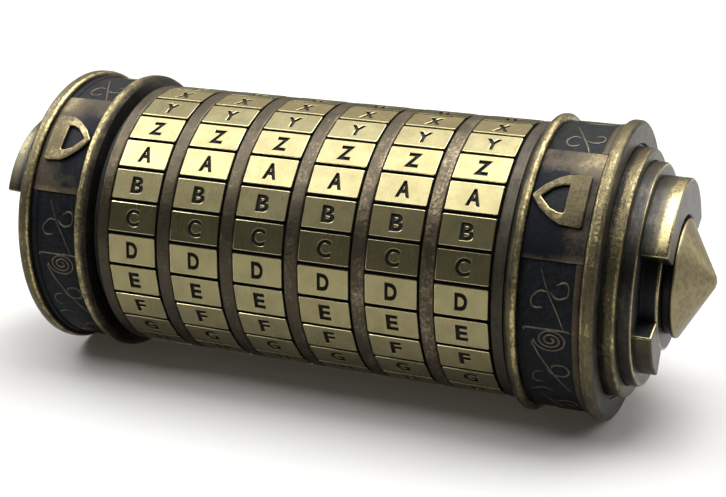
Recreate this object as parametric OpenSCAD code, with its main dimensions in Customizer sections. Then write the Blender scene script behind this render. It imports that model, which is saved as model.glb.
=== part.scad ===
// Cryptex: a combination cylinder with six lettered dials and a vault that draws out of one end.
// The axis lies along +X, the vault end is +X, +Z is up and the origin is the middle of the barrel.
// Angles round the axis are measured from the top (+Z) towards the front (-Y).

/* [Dials] */
// Number of lettered dials
dial_count = 6; // [2:1:6]
// Letters on each dial
letter_count = 26; // [20:1:30]
// Distance from one dial to the next
dial_pitch = 11.83; // [11.6:0.01:13]
// Position of the left end of the first dial along the axis
stack_x = -36.6; // [-37:0.1:-36]
// Radius at the corners of the letter tiles
tile_r = 23.5; // [23:0.1:24]
// Width of the letter tiles along the axis
tile_w = 9; // [8:0.01:9.2]
// Width of the groove between two tiles
groove_w = 0.55; // [0.3:0.05:0.8]
// Depth of the groove between two tiles
groove_d = 0.8; // [0.4:0.1:1.2]
// Width of the plain collar at the left of each dial
collar_w = 2.33; // [2:0.01:2.5]
// Radius of the plain collar of each dial
collar_r = 23.4; // [22.5:0.1:24]
// Angle of the row of letters that opens the lock
row_angle = 47.9; // [0:0.1:90]
// Play of the dials: how far each one rests from the row
dial_play = [-1.25, -0.25, -0.1, 1.0, 1.05, 1.2]; // [-2:0.05:2]

/* [Barrel and vault] */
// Outer radius of the slotted barrel
barrel_r = 13; // [12.6:0.1:13.4]
// Inner radius of the slotted barrel
barrel_bore_r = 11; // [10.8:0.1:11.2]
// Outer radius of the vault tube
vault_r = 10.95; // [10.9:0.01:10.96]
// Inner radius of the vault tube
vault_bore_r = 9; // [8:0.1:9.4]
// Radial running clearance of the dials on the barrel
dial_clear = 0.1; // [0.05:0.01:0.1]

/* [Lock] */
// Width of each tooth across the slot
tooth_w = 3.2; // [2.6:0.1:3.6]
// Thickness of each tooth along the axis
tooth_t = 2.4; // [1.8:0.1:2.6]
// Radius at the tips of the teeth
tooth_r = 16; // [15.4:0.1:16.2]
// Width of the gate in each code ring
gate_w = 5.4; // [4.8:0.1:6]
// Outer radius of the code rings
code_r = 18; // [17.6:0.1:18.4]
// Length of the code rings
code_w = 7.4; // [6.8:0.1:7.6]

/* [End caps] */
// Radius of the flanges that the cryptex lies on
flange_r = 25.1; // [24.6:0.1:26]
// Width of the flange next to the dials
flange_w = 2.05; // [1.6:0.05:2.4]
// Rounding of the flange rims
rim_round = 0.7; // [0.3:0.1:0.9]
// Distance from the centre to the left cap's dial side
left_face = 38.3; // [37.4:0.1:38.6]
// Distance from the centre to the right cap's dial side
right_face = 36.65; // [36.6:0.05:37.4]
// Distance from the centre to the left cap's outer flange
left_outer_x = 49.5; // [48.6:0.1:49.8]
// Distance from the centre to the right cap's outer flange
right_outer_x = 48.7; // [48.4:0.1:49.4]
// Width of the outer flanges
outer_w = 2.2; // [1.8:0.1:2.4]
// Radius of the scroll band
band_r = 23.9; // [23.6:0.1:24]
// Radius of the step on the turned ring behind the crown
ring_r = 20.7; // [20:0.1:21.4]
// Distance from the centre to the face of the turned ring
ring_face_x = 53.3; // [53:0.1:53.8]
// Angle of the marker panel on the left cap
left_mark = 44.35; // [30:0.05:60]
// Angle of the marker panel on the right cap
right_mark = 46.7; // [30:0.1:60]
// Angle that each marker panel covers
panel_span = 47.2; // [40:0.1:60]

/* [Crown and finial] */
// Radius of the crown's base ring
crown_base_r = 18.6; // [18:0.1:19]
// Distance from the centre to the face of the base ring
crown_base_x = 55.4; // [55:0.1:56]
// Outer radius of the crown's blocks
crown_r = 16.5; // [15.5:0.1:17]
// Radius of the crown's hub
hub_r = 12.2; // [11:0.1:13]
// Distance from the centre to the face of the hub and of the low blocks
low_block_x = 58.2; // [57.6:0.1:58.6]
// Distance from the centre to the face of the tall block
tall_block_x = 59.7; // [59.2:0.1:60.2]
// Radius of the cone's base
cone_r = 9.9; // [9:0.1:10.5]
// Distance from the centre to the cone's base
cone_base_x = 60; // [59.8:0.1:60.4]
// Distance from the centre to the tip of the cone
tip_x = 65.4; // [65:0.1:67]

/* [Hidden] */
$fn = 96;
e = 0.02;                                   // gap kept where two pieces are pressed together
dial_w = tile_w + collar_w;
dial_gap = dial_pitch - dial_w;
letter_step = 360 / letter_count;
tile_floor_r = 21;                          // seat of the letter ring on the dial body
code_x = dial_w - 0.35 - code_w;            // start of the code ring inside the dial
barrel_flange_r = 18.6;
barrel_wall_x = 47.5;                       // inner face of each cap's end plate
vault_end = 37.5;                           // open end of the vault tube, left of the centre
collar_end = 36.45;                         // right end of the end collar
cavity_r = 19.5;                            // hollow inside each cap
stud_r = 3;
nut_af = 10;
tall_block = [-70, 61];                     // angles covered by the tall block
low_blocks = [[108, 150], [225, 267]];      // angles covered by the two low blocks
spanner_notches = [146, 336];               // angles of the notches in the turned ring
screw_circle_r = 15.4;
screw_angles = [90, 210, 330];
// Outlines of the marker shield and its hole on a band shield_w wide: [distance from the inner flange, degrees]
shield_w = 9.9;
shield = [[0.05, 0], [1.6, 4.6], [3.6, 8.2], [5.2, 10], [8.9, 10.7], [8.9, -10.7], [5.2, -10], [3.6, -8.2], [1.6, -4.6]];
shield_hole = [[1.5, 0], [3.3, 4.2], [4.6, 5.5], [5.6, 5.7], [5.6, -5.7], [4.6, -5.5], [3.3, -4.2]];
crown_turn = 8;                             // turn of the left crown from the right one

// Left end of dial n, counted from 0
function dial_x(n) = stack_x + n * dial_pitch;
// Inner face of the outer flange at the left (s < 0) or the right
function outer_x(s) = s > 0 ? right_outer_x : left_outer_x;
// A quarter-round corner in a lathe profile, from angle a to b about centre (r, x)
function corner(r, x, q, a, b) = [for (t = [0 : 4]) let (w = a + (b - a) * t / 4)
    [r + q * cos(w), x + q * sin(w)]];

// Turns a profile of [radius, x] points round the X axis
module lathe(points) rotate([0, 90, 0]) rotate_extrude() polygon(points);
// Cylinder and tube along X from x0 to x1
module rod(r, x0, x1) translate([x0, 0, 0]) rotate([0, 90, 0]) cylinder(r = r, h = x1 - x0);
module tube(r_in, r_out, x0, x1) difference() { rod(r_out, x0, x1); rod(r_in, x0 - 1, x1 + 1); }
// Wedge of space between two angles, from radius 0 to r, between x0 and x1
module wedge(a0, a1, r, x0, x1) {
    steps = ceil((a1 - a0) / 30);
    pts = concat([[0, 0]], [for (i = [0 : steps]) let (a = a0 + (a1 - a0) * i / steps)
        [-r * sin(a), r * cos(a)]]);
    translate([x0, 0, 0]) rotate([90, 0, 90]) linear_extrude(x1 - x0) polygon(pts);
}
// Things on the right are drawn as they are, and things on the left are mirrored
module side(s) if (s > 0) children(); else mirror([1, 0, 0]) children();

// ---- End caps ----
// Sleeve with two rounded flanges and a seat for the scroll band between them
module cap(face, s) {
    q = rim_round;
    x0 = outer_x(s);
    x1 = x0 + outer_w;
    side(s) lathe(concat(
        [[cavity_r, face], [flange_r - 1.1, face]],
        corner(flange_r - q, face + q + 0.3, q, -60, 0),
        corner(flange_r - q, face + flange_w - q, q, 0, 90),
        [[band_r - 0.7, face + flange_w], [band_r - 0.7, x0]],
        corner(flange_r - q, x0 + q, q, -90, 0),
        corner(flange_r - q, x1 - q, q, 0, 90),
        [[ring_r + 0.5, x1], [ring_r + 0.5, x1 - 0.5], [ring_r + e, x1 - 0.5],
         [ring_r + e, barrel_wall_x], [cavity_r, barrel_wall_x]]));
}
module left_cap() color("#8f8150") cap(left_face, -1);
module right_cap() color("#8f8150") cap(right_face, 1);

// Turned plate that screws into the end of a cap, with two spanner notches in its rim
module end_plate(s) side(s) difference() {
    lathe(concat([[stud_r + 0.1, barrel_wall_x], [ring_r, barrel_wall_x]],
        corner(ring_r - 0.4, ring_face_x - 0.4, 0.4, 0, 90),
        [[crown_base_r + 0.1, ring_face_x], [crown_base_r + 0.1, ring_face_x - 0.5],
         [stud_r + 0.1, ring_face_x - 0.5]]));
    for (a = spanner_notches) rotate([a, 0, 0])
        translate([outer_x(s) + outer_w + 0.2, -1.5, ring_r - 1.5]) cube([ring_face_x, 3, 3]);
    for (a = screw_angles) rotate([a, 0, 0]) translate([0, 0, screw_circle_r])
        rod(1.3, barrel_wall_x - 1, barrel_wall_x + 4.2);
}
module left_end_plate() color("#8f8150") end_plate(-1);
module right_end_plate() color("#8f8150") end_plate(1);

// Dark strip with a raised outer edge between the two flanges of a cap, open where the marker panels sit
module scroll_band(face, mark, s) side(s) difference() {
    x0 = face + flange_w + 0.05;
    x1 = outer_x(s) - 0.05;
    union() {
        tube(band_r - 0.68, band_r, x0, x1);
        tube(band_r - 0.3, band_r + 0.25, x1 - 1.1, x1);
    }
    for (a = [0, 180]) rotate([mark + a, 0, 0]) wedge(-panel_span / 2, panel_span / 2, 40, face, x1 + 1);
}
module left_scroll_band() color("#23282c") scroll_band(left_face, left_mark, -1);
module right_scroll_band() color("#23282c") scroll_band(right_face, right_mark, 1);

// Prism that rises radially through an outline of [distance from the flange, degrees], stretched k times
module radial_prism(points, r, k) rotate([0, 0, -90]) linear_extrude(40)
    polygon([for (p = points) [r * sin(p[1]), p[0] * k]]);
// Marker panels: curved plates with a raised pointed shield and a pointed hole, one each side
module panels(face, mark, s) side(s) for (a = [0, 180]) rotate([mark + a, 0, 0]) union() {
    x0 = face + flange_w + 0.05;
    x1 = outer_x(s) - 0.05;
    k = (x1 - x0) / shield_w;
    difference() {
        tube(band_r - 0.68, band_r + 0.3, x0, x1);
        wedge(panel_span / 2 - 0.15, 360 - panel_span / 2 + 0.15, 40, face, x1 + 1);
    }
    intersection() {
        tube(band_r, flange_r - 0.15, x0, x1);
        translate([x0, 0, 0]) difference() {
            radial_prism(shield, band_r, k);
            translate([0, 0, -1]) radial_prism(shield_hole, band_r, k);
        }
    }
}
module left_panels() color("#a8965c") panels(left_face, left_mark, -1);
module right_panels() color("#a8965c") panels(right_face, right_mark, 1);

// Crown: base ring, hub, one tall block and two low blocks
module crown(s) side(s) difference() {
    union() {
        rod(crown_base_r, ring_face_x - 0.5 + e, crown_base_x);
        rod(hub_r, crown_base_x - 1, low_block_x);
        crown_block(tall_block[0], tall_block[1], tall_block_x);
        for (b = low_blocks) crown_block(b[0], b[1], low_block_x);
    }
    rod(stud_r + 0.1, 40, 70);
    rod(cone_r + 0.5, low_block_x, 70);
}
module crown_block(a0, a1, x1) intersection() {
    rod(crown_r, crown_base_x - 1, x1);
    wedge(a0, a1, 40, crown_base_x - 1, x1);
}
module left_crown() color("#a8965c") rotate([crown_turn, 0, 0]) crown(-1);
module right_crown() color("#a8965c") crown(1);

// Finial: a blunt cone on a neck, with a threaded stud that clamps the crown to the cap
module finial(s) side(s) lathe(concat(
    [[0, barrel_wall_x - 6.5], [stud_r, barrel_wall_x - 6.5], [stud_r, low_block_x + e],
     [cone_r - 0.6, low_block_x + e], [cone_r - 0.6, cone_base_x - 0.5], [cone_r, cone_base_x - 0.5],
     [cone_r, cone_base_x]],
    [for (t = [0 : 4]) let (w = 32 + 58 * t / 4) [1.4 * cos(w), tip_x - 1.4 + 1.4 * sin(w)]]));
module left_finial() color("#857a4b") finial(-1);
module right_finial() color("#857a4b") finial(1);

// Hexagon nut on the stud, inside the cap
module nut(s) side(s) translate([barrel_wall_x - 2.92, 0, 0]) rotate([0, 90, 0]) difference() {
    cylinder(r = nut_af / sqrt(3), h = 2.9, $fn = 6);
    translate([0, 0, -1]) cylinder(r = stud_r + e, h = 10, $fn = 96);
}
module left_nut() color("#9a9a94") nut(-1);
module right_nut() color("#9a9a94") nut(1);

// ---- Barrel ----
// Slotted tube on which the dials turn
module barrel() color("#6f6a5c") difference() {
    rod(barrel_r, -barrel_wall_x + e, collar_end - 0.2);
    rod(barrel_bore_r, -barrel_wall_x + 5.6, 60);
    rod(nut_af / sqrt(3) + 0.6, -60, 0);
    rotate([row_angle, 0, 0]) translate([dial_x(0) - 1.5, -tooth_w / 2 - 0.4, 0])
        cube([100, tooth_w + 0.8, 20]);
}
// Ring brazed round one end of a tube, with three holes for the screws into the end plate
module tube_flange(r, s) side(s) difference() {
    tube(r + e, barrel_flange_r, barrel_wall_x - 2.5, barrel_wall_x - e);
    for (a = screw_angles) rotate([a, 0, 0]) translate([0, 0, screw_circle_r]) rod(1.5, 40, 60);
}
module barrel_flange() color("#6f6a5c") tube_flange(barrel_r, -1);
// Round-headed screw along X with its head towards the centre
module cap_screw(x_head, s) side(s) translate([x_head, 0, screw_circle_r]) rotate([0, 90, 0])
    difference() {
        union() {
            translate([0, 0, -1.4]) cylinder(r = 2.1, h = 1.4);
            cylinder(r = 1.25, h = 6.4);
        }
        translate([-2.4, -0.3, -1.5]) cube([4.8, 0.6, 0.7]);
    }
module barrel_screws() color("#9a9a94") for (a = screw_angles) rotate([a, 0, 0])
    cap_screw(barrel_wall_x - 2.52, -1);

// Dark washer that spaces the first dial from the left cap
module spacer_ring() color("#1c1c1c")
    lathe([[barrel_r + 0.15, -left_face - 4], [cavity_r - 0.2, -left_face - 4], [cavity_r - 0.2, -left_face + e],
        [21.4, -left_face + e], [21.4, dial_x(0) - 0.35], [barrel_r + 0.15, dial_x(0) - 0.35]]);

// Collar on the barrel's right end that keeps the dials on, with a gate for the teeth
module end_collar() color("#6b6352") difference() {
    lathe([[barrel_r + e, dial_x(dial_count - 1) + dial_w + 0.28], [collar_r - 0.3, dial_x(dial_count - 1) + dial_w + 0.28],
        [collar_r, dial_x(dial_count - 1) + dial_w + 0.58], [collar_r, collar_end - 0.3],
        [collar_r - 0.3, collar_end], [barrel_r + e, collar_end]]);
    rotate([row_angle, 0, 0]) translate([0, -gate_w / 2, 0]) cube([100, gate_w, tooth_r + 0.6]);
    for (a = [200, 280]) rotate([a, 0, 0]) translate([collar_end - 1.25, 0, barrel_r - 1])
        cylinder(r = 0.8, h = 20);
}
// Two grub screws that lock the collar to the barrel
module collar_screws() color("#55544f") for (a = [200, 280]) rotate([a, 0, 0])
    translate([collar_end - 1.25, 0, barrel_r + 0.05]) difference() {
        cylinder(r = 0.78, h = 8);
        translate([0, 0, 7]) cylinder(r = 0.4, h = 2, $fn = 6);
    }

// ---- Dials ----
// Dial body: plain collar at the left and a seat for the letters
module dial_body(n) color("#6b6352") rotate([dial_play[n], 0, 0]) difference() {
    x0 = dial_x(n);
    lathe([[code_r, x0], [collar_r - 0.35, x0], [collar_r, x0 + 0.35], [collar_r, x0 + collar_w - 0.1],
        [tile_floor_r, x0 + collar_w - 0.1], [tile_floor_r, x0 + dial_w - 0.1], [code_r, x0 + dial_w - 0.1]]);
}
// Letter ring: one flat tile for each letter with a groove between neighbours
module dial_letters(n) color("#c9ba7c") rotate([row_angle + dial_play[n], 0, 0]) {
    step = letter_step;
    g = groove_w / 2;
    outline = [for (i = [0 : letter_count - 1]) let (a = (i + 0.5) * step, f = tile_r * cos(step / 2))
        each [
            tile_point(a - g_angle(g), f, i * step), tile_point(a - g_angle(g), f - groove_d, i * step),
            tile_point(a + g_angle(g), f - groove_d, (i + 1) * step), tile_point(a + g_angle(g), f, (i + 1) * step)]];
    translate([dial_x(n) + collar_w, 0, 0]) rotate([90, 0, 90]) difference() {
        linear_extrude(tile_w) polygon(outline);
        translate([0, 0, -1]) cylinder(r = tile_floor_r + e, h = tile_w + 2);
    }
}
function g_angle(g) = asin(g / tile_r);
// Point at angle a on the flat that faces angle c at distance f from the axis
function tile_point(a, f, c) = let (r = f / cos(a - c)) [-r * sin(a), r * cos(a)];
// Code ring inside a dial, with the gate that lets the teeth pass
module dial_code_ring(n) color("#8c8c86") rotate([dial_play[n], 0, 0]) difference() {
    tube(barrel_r + dial_clear, code_r - e, dial_x(n) + code_x, dial_x(n) + code_x + code_w);
    rotate([row_angle, 0, 0]) translate([dial_x(n), -gate_w / 2, 0])
        cube([dial_w, gate_w, tooth_r + 0.6]);
}
module dial_1_body() dial_body(0);
module dial_1_letters() dial_letters(0);
module dial_1_code_ring() dial_code_ring(0);
module dial_2_body() dial_body(1);
module dial_2_letters() dial_letters(1);
module dial_2_code_ring() dial_code_ring(1);
module dial_3_body() dial_body(2);
module dial_3_letters() dial_letters(2);
module dial_3_code_ring() dial_code_ring(2);
module dial_4_body() dial_body(3);
module dial_4_letters() dial_letters(3);
module dial_4_code_ring() dial_code_ring(3);
module dial_5_body() dial_body(4);
module dial_5_letters() dial_letters(4);
module dial_5_code_ring() dial_code_ring(4);
module dial_6_body() dial_body(5);
module dial_6_letters() dial_letters(5);
module dial_6_code_ring() dial_code_ring(5);

// ---- Vault ----
// Tube that holds the message, closed at its right end
module vault_tube() color("#8c8c86") difference() {
    rod(vault_r, -vault_end, barrel_wall_x - e);
    rod(vault_bore_r, -60, vault_end + 0.2);
    rod(nut_af / sqrt(3) + 0.6, vault_end + 1.7, 60);
    rotate([row_angle, 0, 0]) translate([-vault_end - 1, -tooth_w / 2 - 0.02, vault_r - 0.8])
        cube([vault_end + bar_end + 1.02, tooth_w + 0.04, 5]);
    for (x = bar_screw_x) rotate([row_angle, 0, 0]) translate([x, 0, 8]) cylinder(r = 0.7, h = 5);
}
module vault_flange() color("#8c8c86") tube_flange(vault_r, 1);
module vault_screws() color("#9a9a94") for (a = screw_angles) rotate([a, 0, 0])
    cap_screw(barrel_wall_x - 2.52, 1);
// Middle of tooth n at rest, in the space between two code rings
function tooth_x(n) = dial_x(n) + (code_x - 0.35 - dial_gap) / 2;
bar_end = 33;
bar_screw_x = [-29, 18];
// Bar of teeth let into the side of the vault tube
module tooth_bar() color("#77756c") rotate([row_angle, 0, 0]) difference() {
    intersection() {
        union() {
            translate([-vault_end + 0.5, -tooth_w / 2, vault_r - 0.78])
                cube([vault_end + bar_end - 0.5, tooth_w, 1.4]);
            for (n = [0 : dial_count - 1]) translate([tooth_x(n) - tooth_t / 2, -tooth_w / 2, vault_r - 0.5])
                cube([tooth_t, tooth_w, 10]);
        }
        rod(tooth_r, -60, 60);
    }
    for (x = bar_screw_x) translate([x, 0, 8]) cylinder(r = 0.75, h = 5);
}
module tooth_bar_screws() color("#9a9a94") rotate([row_angle, 0, 0]) for (x = bar_screw_x)
    translate([x, 0, vault_bore_r + 0.15]) difference() {
        union() {
            cylinder(r = 0.68, h = 3);
            translate([0, 0, vault_r - vault_bore_r + 0.49]) cylinder(r = 1.2, h = 0.6);
        }
        translate([-1.5, -0.15, vault_r - vault_bore_r + 0.85]) cube([3, 0.3, 1]);
    }

left_cap();
left_scroll_band();
left_panels();
left_crown();
left_finial();
left_nut();
left_end_plate();
barrel();
barrel_flange();
barrel_screws();
spacer_ring();
end_collar();
collar_screws();
dial_1_body();
dial_1_letters();
dial_1_code_ring();
dial_2_body();
dial_2_letters();
dial_2_code_ring();
dial_3_body();
dial_3_letters();
dial_3_code_ring();
dial_4_body();
dial_4_letters();
dial_4_code_ring();
dial_5_body();
dial_5_letters();
dial_5_code_ring();
dial_6_body();
dial_6_letters();
dial_6_code_ring();
right_cap();
right_scroll_band();
right_panels();
right_crown();
right_finial();
right_nut();
right_end_plate();
vault_tube();
vault_flange();
vault_screws();
tooth_bar();
tooth_bar_screws();
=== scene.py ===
import bpy, bmesh, math
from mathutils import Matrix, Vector, noise


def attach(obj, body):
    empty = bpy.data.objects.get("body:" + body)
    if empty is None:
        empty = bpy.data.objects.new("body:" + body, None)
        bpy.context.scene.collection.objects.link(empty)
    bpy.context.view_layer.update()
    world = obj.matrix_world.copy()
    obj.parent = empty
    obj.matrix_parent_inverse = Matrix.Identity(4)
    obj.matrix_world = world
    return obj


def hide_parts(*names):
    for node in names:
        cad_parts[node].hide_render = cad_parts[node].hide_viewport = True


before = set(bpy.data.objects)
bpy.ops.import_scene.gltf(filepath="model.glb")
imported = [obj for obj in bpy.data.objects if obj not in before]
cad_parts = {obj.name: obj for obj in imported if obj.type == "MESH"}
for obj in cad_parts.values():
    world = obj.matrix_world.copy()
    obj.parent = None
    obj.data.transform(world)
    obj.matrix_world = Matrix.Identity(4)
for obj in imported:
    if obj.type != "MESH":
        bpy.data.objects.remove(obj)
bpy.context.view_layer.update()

# A cryptex: six lettered dials between two flanged caps. The right cap draws out with the vault.
# Sizes are in mm. x runs along the axis, r is the distance from it, and psi is the angle in degrees from the
# top (+Z) towards the front (-Y). at() turns the three into a point in metres.

MM = 0.001
TAU = 2 * math.pi

# ---------------------------------------------------------------- sizes, in mm and degrees, as in the CAD
ALPHABET = "ABCDEFGHIJKLMNOPQRSTUVWXYZ"
DIALS, LETTERS = 6, len(ALPHABET)
STACK_X, PITCH = -36.6, 11.83                         # left side of the first dial, and from dial to dial
TILE_R, TILE_W, COLLAR_W = 23.5, 9.0, 2.33            # TILE_R reaches to the corners of the tiles
DIAL_W = TILE_W + COLLAR_W
DIAL_GAP = 0.1                                        # collar and seat stop this far before the tiles' edges
COLLAR_R, SEAT_R, CODE_R = 23.4, 21.0, 18.0           # collar, seat of the letters, seat of the code ring
GROOVE_W, GROOVE_D = 0.55, 0.8                        # groove between two tiles
ROW = 47.9                                            # psi of the row of A tiles
PLAY = [-1.25, -0.25, -0.1, 1.0, 1.05, 1.2]           # how far each dial rests from that row
STEP = 360 / LETTERS
FLAT = TILE_R * math.cos(math.radians(STEP / 2))      # distance of a tile's face from the axis
BAND_R, FLANGE_R, FLANGE_W, OUTER_W = 23.9, 25.06, 2.05, 2.2
CAVITY_R, WALL_X = 19.5, 47.5                         # hollow of a cap, and the end plate's inner side
RING_X, RING_R = 53.3, 20.7                           # outer side and radius of the end plate
STUD_HOLE_R = 3.1
CROWN_BASE_X, CROWN_BASE_R, HUB_R = 55.4, 18.6, 12.2
BLOCK_R, LOW_X, TALL_X = 16.5, 58.2, 59.7             # crown blocks: radius, top of the low and the tall ones
SPAN = 47.2                                           # angle covered by a marker panel
FLOOR_Z = -25.1 * MM
# face is the cap's inner face and outer the inner side of its outer flange, mark the psi of its marker panel,
# turn the crown's turn and rosette the x of the rosettes on its band
CAPS = {"left": dict(face=38.3, outer=49.5, mark=44.35, turn=8, rosette=-43.75, sign=-1, body="casing"),
        "right": dict(face=36.65, outer=48.7, mark=46.7, turn=0, rosette=44.1, sign=1, body="vault")}


def dial_x(n):
    return STACK_X + n * PITCH


def step_up(v, lo, hi):
    """Smooth step from 0 at lo to 1 at hi (or the other way round when hi < lo)."""
    t = max(0.0, min(1.0, (v - lo) / (hi - lo)))
    return t * t * (3 - 2 * t)


def at(x, r, psi):
    """A point x along the axis and r from it, psi degrees from the top towards the front."""
    a = math.radians(psi)
    return Vector((x, -r * math.sin(a), r * math.cos(a))) * MM


# ---------------------------------------------------------------- materials
class Nodes:
    """A material's node tree. obj is the object coordinate, mm the same in millimetres."""

    def __init__(self, name):
        self.mat = bpy.data.materials.new(name)
        self.mat.use_nodes = True
        self.t = self.mat.node_tree
        self.bsdf = self.t.nodes["Principled BSDF"]
        self.obj = self.add("ShaderNodeTexCoord").outputs["Object"]
        self.mm = self.scaled(self.obj, (1000, 1000, 1000))

    def add(self, kind, **props):
        n = self.t.nodes.new(kind)
        for k, v in props.items():
            setattr(n, k, v)
        return n

    def link(self, a, b):
        self.t.links.new(a, b)

    def put(self, socket, v):
        """Links v to the socket if it is a socket itself, and sets it as the value otherwise."""
        if hasattr(v, "is_linked") or hasattr(v, "links"):
            self.link(v, socket)
        else:
            socket.default_value = v

    def math(self, op, a, b=0.0, c=0.0, clamp=False):
        n = self.add("ShaderNodeMath", operation=op, use_clamp=clamp)
        for s, v in zip(n.inputs, (a, b, c)):
            self.put(s, v)
        return n.outputs[0]

    def ramp(self, v, lo, hi, a=0.0, b=1.0):
        """Smooth ramp from a at lo to b at hi."""
        n = self.add("ShaderNodeMapRange", interpolation_type="SMOOTHSTEP")
        for s, q in zip(n.inputs, (v, lo, hi, a, b)):
            self.put(s, q)
        return n.outputs[0]

    def around(self, v, amount, base):
        """Adds a noise v, taken about its middle and times amount, to base."""
        return self.math("MULTIPLY_ADD", self.math("SUBTRACT", v, 0.5), amount, base)

    def mix(self, f, a, b):
        n = self.add("ShaderNodeMix", data_type="RGBA")
        colour_a, colour_b, result = n.inputs[6], n.inputs[7], n.outputs[2]
        self.put(n.inputs["Factor"], f)
        self.put(colour_a, a)
        self.put(colour_b, b)
        return result

    def split(self, vec):
        n = self.add("ShaderNodeSeparateXYZ")
        self.link(vec, n.inputs[0])
        return n.outputs

    def join(self, x, y, z):
        n = self.add("ShaderNodeCombineXYZ")
        for s, v in zip(n.inputs, (x, y, z)):
            self.link(v, s)
        return n.outputs[0]

    def scaled(self, vec, scale):
        n = self.add("ShaderNodeVectorMath", operation="MULTIPLY")
        self.put(n.inputs[0], vec)
        n.inputs[1].default_value = scale
        return n.outputs[0]

    def noise(self, vec, scale, detail, rough):
        n = self.add("ShaderNodeTexNoise")
        self.put(n.inputs["Vector"], vec)
        n.inputs["Scale"].default_value = scale
        n.inputs["Detail"].default_value = detail
        n.inputs["Roughness"].default_value = rough
        return n.outputs["Fac"]

    def attr(self, name):
        return self.add("ShaderNodeAttribute", attribute_name=name)

    def bump(self, height, strength, distance):
        n = self.add("ShaderNodeBump")
        n.inputs["Strength"].default_value = strength
        n.inputs["Distance"].default_value = distance
        self.put(n.inputs["Height"], height)
        return n.outputs["Normal"]

    def finish(self, colour, rough, normal=None, metallic=1.0, specular=0.5):
        self.put(self.bsdf.inputs["Base Color"], colour)
        self.put(self.bsdf.inputs["Roughness"], rough)
        self.bsdf.inputs["Metallic"].default_value = metallic
        self.bsdf.inputs["Specular IOR Level"].default_value = specular
        if normal:
            self.put(self.bsdf.inputs["Normal"], normal)
        return self.mat


def rgb(r, g, b):
    return (r, g, b, 1.0)


def antique(name, bright, mid, dark, rough, streak=1.0, grain=1.0):
    """Antiqued metal: dark in the hollows, rubbed bright where the wear attribute says so; that attribute
    also holds painted shade and painted highlights in places.
    streak is the amount of fine lines round the axis, and grain the amount of fine roughness."""
    n = Nodes(name)
    soft = n.noise(n.mm, 0.30, 4.0, 0.55)
    fine = n.noise(n.mm, 1.9, 5.0, 0.6)
    speck = n.noise(n.mm, 7.0, 3.0, 0.6)
    line = n.noise(n.scaled(n.obj, (3600, 260, 260)), 1.0, 3.0, 0.6)
    w = n.around(soft, 1.3, n.attr("wear_and_shade").outputs["Fac"])
    w = n.around(fine, 0.7 + 0.4 * grain, w)
    w = n.around(line, streak, w)
    rub = n.ramp(w, 0.25, 1.0)
    col = n.mix(n.ramp(w, -0.75, 0.2), rgb(*dark), rgb(*mid))
    col = n.mix(rub, col, rgb(*bright))
    pit = n.ramp(n.math("MULTIPLY_ADD", w, 0.06, speck), 0.34, 0.46, 1.0, 0.0)
    col = n.mix(n.math("MULTIPLY", pit, 0.6), col, rgb(*dark))
    r = n.around(fine, 0.3, n.math("MULTIPLY_ADD", rub, -0.10, rough))
    r = n.math("MULTIPLY_ADD", pit, 0.12, r, clamp=True)
    h = n.math("MULTIPLY_ADD", fine, 0.6 * grain, n.math("MULTIPLY", line, 0.25 * streak))
    h = n.math("MULTIPLY_ADD", pit, -0.5, h)
    return n.finish(col, r, n.bump(h, 0.15 + 0.2 * grain, 0.00013))


def brushed(name, bright, dark, rough, streak=0.5):
    """Brushed or turned metal with streaks round the axis, and black where the wear attribute is near -1."""
    n = Nodes(name)
    x, y, z = n.split(n.mm)
    r_mm = n.math("SQRT", n.math("ADD", n.math("MULTIPLY", y, y), n.math("MULTIPLY", z, z)))
    turned = n.join(n.math("MULTIPLY", x, 9.0), n.math("MULTIPLY", r_mm, 9.0), n.math("MULTIPLY", y, 0.12))
    line = n.noise(turned, 1.0, 3.0, 0.6)
    fine = n.noise(n.mm, 1.2, 5.0, 0.6)
    wear_and_shade = n.attr("wear_and_shade").outputs["Fac"]
    f = n.math("MULTIPLY_ADD", fine, 1.0 - streak, n.math("MULTIPLY", wear_and_shade, 0.35))
    f = n.ramp(n.math("MULTIPLY_ADD", line, streak, f), 0.3, 0.62)
    col = n.mix(f, rgb(*dark), rgb(*bright))
    col = n.mix(n.ramp(wear_and_shade, -1.0, -0.3, 0.95, 0.0), col, rgb(0.014, 0.014, 0.015))
    return n.finish(col, n.around(line, 0.25, rough), n.bump(line, 0.25, 0.00006))


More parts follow.
